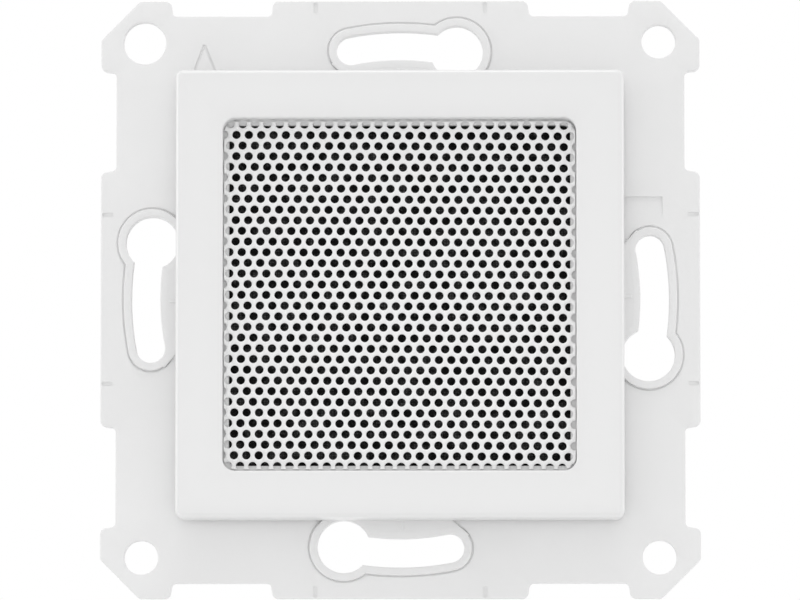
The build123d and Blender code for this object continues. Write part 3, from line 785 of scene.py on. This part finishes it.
# Surround: outer lip, roll and inner lip; it follows the cone with its inner lip
roll = [(17.2, 4.6), (16.8, 4.6), (16.4, 4.6)]
roll += [(15.2 + 1.1 * cos(pi * k / 14), 4.6 + 0.62 * sin(pi * k / 14)) for k in range(15)]
roll += [(14.02, 4.3), (13.96, 4.06), (13.8, 3.86), (13.5, 3.66), (13.0, 3.36)]
surround_roll = Layers()
surround_roll.lathe(thick_line(roll, 0.32))
edge = finished(surround_roll.build("surround_roll"), None, "surround_rubber", rubber_black, "surround")
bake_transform(edge)

# Cone with its glued neck, the domed cap, and the coil on its former
cone_front = [(5.22, -1.25), (5.45, -1.42)]
for k in range(29):
    t = k / 28
    ripple = 0.05 * sin(2 * pi * 5 * t) if 0.25 < t < 0.9 else 0.0
    cone_front.append((5.6 + 8.15 * t, -1.45 + 5.05 * t**0.93 + ripple))
cone_back = [(r, h - 0.36) for r, h in reversed(cone_front[2:])] + [(5.22, -1.95)]
paper_cone = Layers()
paper_cone.lathe(cone_front + cone_back)
finished(paper_cone.build("paper_cone"), "diaphragm", "cone_paper", paper_black, "cone")

cap_outer = [(6.6, -0.72)] + [(6.3 * (1 - k / 16), -0.66 + 1.32 * (1 - (1 - k / 16) ** 2)) for k in range(17)]
cap_inner = [(r, h - 0.2) for r, h in reversed(cap_outer[1:])] + [(6.6, -0.86)]
dome = Layers()
dome.lathe(cap_outer + cap_inner)
finished(dome.build("cap_dome"), "diaphragm", "cone_paper", cap_black, "dust_cap")

coil = Layers()
coil.lathe(box_section(5.10, 5.22, -7.6, -1.3, 0.03))
wires = [(5.225, -7.45)]
for k in range(15):
    h = -7.45 + 0.2 * k
    wires += [(5.37, h), (5.44, h + 0.05), (5.44, h + 0.14), (5.37, h + 0.19)]
wires.append((5.225, -4.45))
coil.tone = 1
coil.lathe(wires)
finished(coil.build("coil_on_former"), "diaphragm", "winding_copper", [former_amber, copper_wire], "voice_coil")

# Spider: a corrugated ring of stiffened cloth between the coil and the chassis floor
waves = [(5.24, -2.08), (5.9, -2.1)]
for k in range(1, 48):
    t = k / 48
    waves.append((5.9 + 4.3 * t, -2.1 - 0.9 * t + 0.14 * sin(2 * pi * 4 * t)))
waves += [(10.3, -3.0), (10.7, -3.04), (11.1, -3.05)]
dished = Layers()
dished.lathe(thick_line(waves, 0.22), count=120)
disc = finished(dished.build("spider_ring"), None, "spider_cloth", spider_amber, "spider")
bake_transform(disc)

# Motor: cup, magnet and pole plate
MOTOR = (
    ("motor_cup", "magnet_steel", zinc, "magnet_cup", [0, 0.3, 0.2, 0.3, 0.7, 0.1, 0],
     [(0, MAGNET_BACK), (5.8, MAGNET_BACK), (5.8, POLE_FRONT), (8.8, POLE_FRONT), (8.8, CUP_BACK),
      (0.6, CUP_BACK), (0, -13.2)]),
    ("magnet_slug", "magnet_nickel", nickel, "magnet", [0, 0.3, 0.3, 0],
     [(0, MAGNET_BACK), (4.3, MAGNET_BACK), (4.3, MAGNET_FRONT), (0, MAGNET_FRONT)]),
    ("pole_plate", "magnet_steel", zinc, "pole_disc", [0, 0.1, 0.25, 0.1, 0],
     [(0, MAGNET_FRONT), (4.7, MAGNET_FRONT), (4.7, POLE_FRONT), (0.8, POLE_FRONT), (0, -4.35)]),
)
for name, slot, material, replaced, radii, section in MOTOR:
    piece = Layers()
    piece.lathe(rounded(section, radii, SECTION_STEP), closed=False)
    finished(piece.build(name), "unit", slot, material, replaced)

# Tag strip with two brass pads, and the bent strips that lead to the board
TAGS, TAG_Z = (-2.5, 2.5), 10.7
tags = Layers()
tags.block(box_points(0, TAG_Z, 8.0, 2.4, 0.4), -4.62, -4.0, 0.06)
tags.tone = 1
for x in TAGS:
    tags.block(box_points(x, TAG_Z, 2.2, 2.0, 0.3), -4.8, -4.6, 0.04)
finished(tags.build("tag_strip"), "unit", "tag_strip", [hard_paper, brass], "speaker_terminal")

springs = Layers()
for x in TAGS:
    bend = [(TAG_Z + 0.45 * sin(2 * pi * k / 24) * sin(pi * k / 24), BOARD_FRONT + 10.2 * k / 24)
            for k in range(25)]
    springs.leaf(bend, 0.22, x - 0.7, x + 0.7)
finished(springs.build("contact_springs"), "unit", "contact_brass", brass, "contact_strips")

# Rear housing: floor with vents, walls that are open round the terminals, tongues, posts and noses
BAY, BAY_TOP = 8.0, -10.2
OUTER, INNER = 23.0, 21.4
outer8, inner8 = eight(OUTER), eight(INNER)
housing = Layers()
way_in = [(-BAY, -OUTER), (-BAY, -INNER), (-BAY, BAY_TOP), (BAY, BAY_TOP), (BAY, -INNER), (BAY, -OUTER)]
floor_low, _ = housing.wall(with_bay(outer8, 0.8, way_in), edges(HOUSING_BACK, FLOOR_FRONT, 0.25, 0))
vent_low, vent_high = [], []
for k in range(-2, 3):
    slit = arc(3.5 * k, 13.75, 0.75, 0, 180) + arc(3.5 * k, 3.25, 0.75, 180, 360)
    low, high = housing.wall(slit[::-1], edges(HOUSING_BACK, FLOOR_FRONT, 0.15, 0.1))
    vent_low.append(low)
    vent_high.append(high)
housing.area([floor_low, *vent_low], front=False)
housing.area([housing.line(with_bay(inner8, 0.5, way_in[1:-1]), FLOOR_FRONT), *vent_high])
open_ring = rounded(
    outer8[:6] + way_in[:2] + inner8[5::-1] + inner8[:5:-1] + way_in[-2:] + outer8[6:],
    [0.8] * 6 + [0.0] * 2 + [0.5] * 8 + [0.0] * 2 + [0.8] * 2,
)
housing.wall(open_ring, [(0.0, FLOOR_FRONT), (0.0, SILL)])
sill = [(-BAY, -OUTER), (BAY, -OUTER), (BAY, -INNER), (-BAY, -INNER)]
housing.area([housing.line(sill, SILL)], front=False)
wall_profile = edges(SILL, SEAT, 0, 0.15)
_, rim_out = housing.wall(with_bay(outer8, 0.8, sill[:2]), wall_profile)
_, rim_in = housing.wall(with_bay(inner8, 0.5, [sill[3], sill[2]])[::-1], wall_profile)
housing.area([rim_out, rim_in])
stems, heads = Layers(), Layers()
for side in range(4):
    stems.block(turned(box_points(20.85, 0, 1.3, 6.0, 0.15), 90 * side), -8.0, 1.4, 0.08)
    heads.block(turned(box_points(21.11, 0, 1.78, 5.9, 0.2), 90 * side), 0.85, 1.65, 0.15)
    stems.block(turned(box_points(21.4, 0, 1.6, 5.0, 0.2), 90 * side), -14.95, -13.95, 0.15)
for x, z in CORNERS:
    stems.block(box_points(16.38 * x, 7.6 * z, 3.2, 3.2, 0.4), HOUSING_BACK + 0.5, BOARD_BACK, 0.1)
shell = combined(housing.build("housing_shell"), "UNION", stems.build("stems"), heads.build("heads"))
finished(shell, "unit", "housing_plastic", housing_grey, "rear_housing")

# Circuit board with its solder joints
board = Layers()
board_low, board_high = board.wall(octagon(21.0, 0.5), edges(BOARD_BACK, BOARD_FRONT, 0.06, 0.06))
board.area([board_low], front=False)
board.area([board_high])
board.tone = 1
joints = [(x, z) for x in (-12.0, -9.5, -4.5, -2.0) for z in (2.8, 11.2)]
joints += [(9.5, 10.7), (9.5, 14.3), (-11.6, -5.5), (-4.2, -5.5), (17.2, 0.3), (17.2, 3.9)]
joints += [(x, z) for x in (-5.0, 0.0, 5.0) for z in (-17.0, -13.0)]
joints += [(x, 10.7) for x in (-3.9, -1.1, 1.1, 3.9)]
bead = [(0.0, -0.05), (0.85, -0.05), (0.85, 0.02), (0.6, 0.13), (0.35, 0.4), (0.0, 0.5)]
for place in joints:
    board.lathe([(r, BOARD_FRONT + h) for r, h in bead], place, count=20, closed=False)
finished(board.build("circuit_board_masked"), "unit", "board_green", [solder_mask, solder], "circuit_board")

# Parts on the board
case_x, case_z, case_back = -6.993, 6.972, -27.1
potted = Layers()
case = box_points(case_x, case_z, 13.0, 11.4, 1.0)
case_low, case_high = potted.wall(case, edges(case_back, BOARD_BACK, 0.4, 0.1))
well = box_points(case_x, case_z, 10.8, 9.2, 0.5)
mouth_edge, well_low = potted.wall(well[::-1], [(0.0, case_back), (0.0, case_back + 0.4)])
potted.area([case_low, mouth_edge], front=False)
potted.area([case_high])
potted.tone = 1
potted.area([flipped(well_low)], front=False)
potted_tones = [case_yellow, resin_black]
finished(potted.build("potted_transformer"), "unit", "transformer_tape", potted_tones, "transformer")

can_at = (9.492, 12.495)
can_section = [(0, BOARD_BACK), (3.7, BOARD_BACK), (3.75, -18.4), (3.45, -18.9), (4.0, -19.5), (4.0, -28.05),
               (3.2, -28.05), (3.15, -27.86)]
can = Layers()
can_radii = [0, 0.1, 0.3, 0.4, 0.4, 0.35, 0.05, 0]
can.lathe(rounded(can_section, can_radii, SECTION_STEP), can_at, count=64, closed=False)
can.tone = 1
can.lathe([can_section[-1], (0.0, -27.86)], can_at, count=64, closed=False)
for angle in (20, 110):
    can.block(moved(turned(box_points(0, 0, 4.6, 0.22, 0.05), angle), *can_at), -27.95, -27.8, 0.03)
finished(can.build("electrolytic_can"), "unit", "capacitor_sleeve", [sleeve, aluminium], "smoothing_capacitor")

film, foot_ring = Layers(), Layers()
film.block(box_points(-7.896, -5.502, 10.5, 5.0, 0.5), -25.6, -17.0, 0.35)
foot_ring.block(box_points(-7.896, -5.502, 9.9, 4.4, 0.4), -17.5, BOARD_BACK, 0.1)
film_piece = combined(film.build("film_capacitor_box"), "UNION", foot_ring.build("foot_ring"))
finished(film_piece, "unit", "film_capacitor_case", case_ochre, "film_capacitor")

drum_at = (17.199, 2.1)
drum_section = [(0, BOARD_BACK), (2.8, BOARD_BACK), (2.8, -17.4), (1.3, -17.4), (1.3, -20.8), (2.8, -20.8),
                (2.8, -21.6), (0, -21.6)]
drum = Layers()
drum_radii = [0, 0.15, 0.1, 0, 0, 0.1, 0.2, 0]
drum.lathe(rounded(drum_section, drum_radii, SECTION_STEP), drum_at, count=48, closed=False)
drum.tone = 1
turns = [(1.4, -17.45)]
for k in range(11):
    h = -17.45 - 0.3 * k
    turns += [(2.35, h), (2.5, h - 0.08), (2.5, h - 0.2), (2.35, h - 0.28)]
drum.lathe(turns + [(1.4, -20.75)], drum_at, count=48)
finished(drum.build("drum_choke"), "unit", "choke_ferrite", [ferrite, copper_wire], "choke")

# Radio module: small board with plated half holes along its long sides, and its shield
MODULE_BACK, SHIELD_BACK = -17.4, -19.6
module_at = (6.3, -4.263)
pads = [-5.0 + 1.25 * k for k in range(9)]
rim = [(-6.5, -4.0)]
for x in pads:
    rim += arc(x, -4.0, 0.3, 180, 0)
rim += [(6.5, -4.0), (6.5, 4.0)]
for x in reversed(pads):
    rim += arc(x, 4.0, 0.3, 0, -180)
rim.append((-6.5, 4.0))
module = Layers()
module_low, module_high = module.wall(moved(rim, *module_at), [(0.0, MODULE_BACK), (0.0, BOARD_BACK)])
module.area([module_low], front=False)
module.area([module_high])
module.tone = 1
for x in pads:
    for z in (-3.45, 3.45):
        pad = moved(box_points(x, z, 0.7, 0.5, 0.1), *module_at)
        module.block(pad, MODULE_BACK - 0.04, MODULE_BACK + 0.1, 0.01)
finished(module.build("module_board"), "unit", "module_board", [module_blue, brass], "radio_module")

shield = Layers()
lid_low, lid_high = shield.wall(box_points(*module_at, 10.5, 6.2, 0.5), edges(SHIELD_BACK, MODULE_BACK, 0.3, 0))
dimples = []
for x in (-3.6, -1.2, 1.2, 3.6):
    for z in (-1.5, 1.5):
        dimple = circle(module_at[0] + x, module_at[1] + z, 0.35, 20)
        dimples.append(shield.pit(dimple, SHIELD_BACK, SHIELD_BACK + 0.2))
shield.area([lid_low, *dimples], front=False)
shield.area([lid_high])
finished(shield.build("shield_can"), "unit", "shield_tin", tin, "module_shield")

chip_z, chip_back = 17.85, -17.8
pin = [(-2.5, -16.68), (-2.25, -16.68), (-2.1, -16.8), (-2.05, -17.1), (-1.9, -17.2), (-1.8, -17.2)]
chip = Layers()
chip_low, chip_high = chip.wall(box_points(0, chip_z, 5.0, 3.9, 0.2), edges(chip_back, -16.75, 0.12, 0.12))
dot = chip.pit(circle(-1.9, chip_z - 1.35, 0.3, 20), chip_back, chip_back + 0.08)
chip.area([chip_low, dot], front=False)
chip.area([chip_high])
chip.tone = 1
for k in range(4):
    x = -1.905 + 1.27 * k
    for place, turn in ((x, 0), (-x, 180)):
        chip.leaf(pin, 0.12, place - 0.2, place + 0.2, turn, chip_z)
finished(chip.build("amplifier_package"), "unit", "chip_black", [mould_black, tin], "amplifier_chip")

# Terminal block: wire entries below, screw holes behind, grooves between the poles
POLES, POLE_Z = (-5.0, 0.0, 5.0), -15.0
BLOCK_BACK = -31.0
terminal = Layers()
terminal.block(box_points(0, POLE_Z, 15.4, 9.0, 0.5), BLOCK_BACK, BOARD_BACK, 0.25)
block = terminal.build("terminal_body")
entries, drills = Layers(), Layers()
for x in POLES:
    mouths = ((-19.8, 4.7, 5.1), (-19.5, 4.5, 4.9), (-18.8, 3.8, 4.2), (-12.0, 3.8, 4.2))
    entries.loft([[(px, h, z) for px, h in box_points(x, -27.0, w, d, 0.4)] for z, w, d in mouths])
    drills.lathe([(0.0, -31.4), (1.9, -31.4), (1.75, BLOCK_BACK), (1.5, -30.75), (1.5, -28.8), (0.0, -28.8)],
                 (x, POLE_Z), count=40, closed=False)
for x in (-2.5, 2.5):
    drills.block(box_points(x, POLE_Z, 0.35, 9.6), -31.4, -30.6, 0.0)
combined(block, "DIFFERENCE", entries.build("entry_tool"), drills.build("drill_tool"))
finished(block, "unit", "terminal_plastic", terminal_grey, "terminal_block")

screw = rounded([(0, -30.6), (1.35, -30.6), (1.35, -29.5), (0.95, -29.4), (0.95, -28.6), (0, -28.6)],
                [0, 0.35, 0.08, 0.05, 0.15, 0], SECTION_STEP)
screws, slots = Layers(), Layers()
for x, angle in zip(POLES, (25, -40, 70)):
    screws.lathe(screw, (x, POLE_Z), count=40, closed=False)
    slots.block(moved(turned(box_points(0, 0, 3.2, 0.5), angle), x, POLE_Z), BLOCK_BACK, -30.15, 0.0)
heads = combined(screws.build("screw_heads"), "DIFFERENCE", slots.build("slot_tool"))
finished(heads, "unit", "screw_steel", zinc, "terminal_screws")

# The clamps keep their CAD shape
nodes["terminal_clamps"].data.materials.clear()
nodes["terminal_clamps"].data.materials.append(clamp_metal)

# Camera: below the axis and looking a little upwards, as in the photograph
ELEVATION, AZIMUTH = -4.6, 0.8
DISTANCE, FIELD = 0.9, 0.0945
AIM = Vector((-0.00006, 0.0, 0.00002))
lift, swing = radians(ELEVATION), radians(AZIMUTH)
back = Vector((sin(swing) * cos(lift), -cos(swing) * cos(lift), sin(lift)))
camera_data = bpy.data.cameras.new("camera")
camera_data.sensor_width = 36.0
camera_data.lens = 36.0 * DISTANCE / FIELD
camera_data.clip_start = 0.01
camera_data.clip_end = 20.0
camera = bpy.data.objects.new("camera", camera_data)
camera.location = AIM + back * DISTANCE
camera.rotation_mode = "QUATERNION"
camera.rotation_quaternion = (-back).to_track_quat("-Z", "Y")
bpy.context.scene.collection.objects.link(camera)
bpy.context.scene.camera = camera

# Floor below the camera's height, so that it only shows in views from above
FLOOR_Z, FLOOR_HALF = -0.12, 3
corners = [(-1, -1), (1, -1), (1, 1), (-1, 1)]
mesh = new_mesh("floor", [(FLOOR_HALF * x, FLOOR_HALF * y, FLOOR_Z) for x, y in corners], [(0, 1, 2, 3)])
floor = shown("floor", mesh)
mesh.materials.append(floor_pale)
floor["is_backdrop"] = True

# Light: a nearly even surround that is white where it is seen, and soft lamps on all sides
world = bpy.data.worlds.new("world")
bpy.context.scene.world = world
sky = Graph(world, "Background")
camera_ray = sky.add("LightPath", "Is Camera Ray")
rays = camera_ray.node.outputs
seen = sky.math("MAXIMUM", sky.math("MAXIMUM", camera_ray, rays["Is Glossy Ray"]), rays["Is Transmission Ray"])
direction = sky.add("TexCoord", "Generated")
slant = sky.add("VectorMath", "Value", {0: direction, 1: (-0.04, 0.0, 0.12)}, operation="DOT_PRODUCT")
strength = sky.choice(seen, sky.math("ADD", slant, 0.80), 1.0)
sky.feed(sky.shader, {"Color": (1, 1, 1, 1), "Strength": strength})


def lamp(name, place, size, power):
    """A square lamp that points at the middle of the part."""
    data = bpy.data.lights.new(name, "AREA")
    data.shape = "SQUARE"
    data.size = size
    data.energy = power
    lamp_object = bpy.data.objects.new(name, data)
    lamp_object.location = place
    aim = Vector((0, 0, 0)) - Vector(place)
    lamp_object.rotation_euler = aim.to_track_quat("-Z", "Y").to_euler()
    bpy.context.scene.collection.objects.link(lamp_object)


lamp("lamp_above", (0.0, -0.20, 0.85), 0.3, 1.5)
lamp("lamp_left", (-0.9, -0.15, 0.1), 0.25, 1.1)
lamp("lamp_right", (0.9, -0.15, 0.1), 0.25, 0.85)
lamp("lamp_front", (0.015, -1.1, -0.05), 0.5, 0.9)
lamp("lamp_rear", (0.3, 0.9, 0.6), 0.7, 2.2)

bpy.context.scene.view_settings.view_transform = "Standard"

low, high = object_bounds()
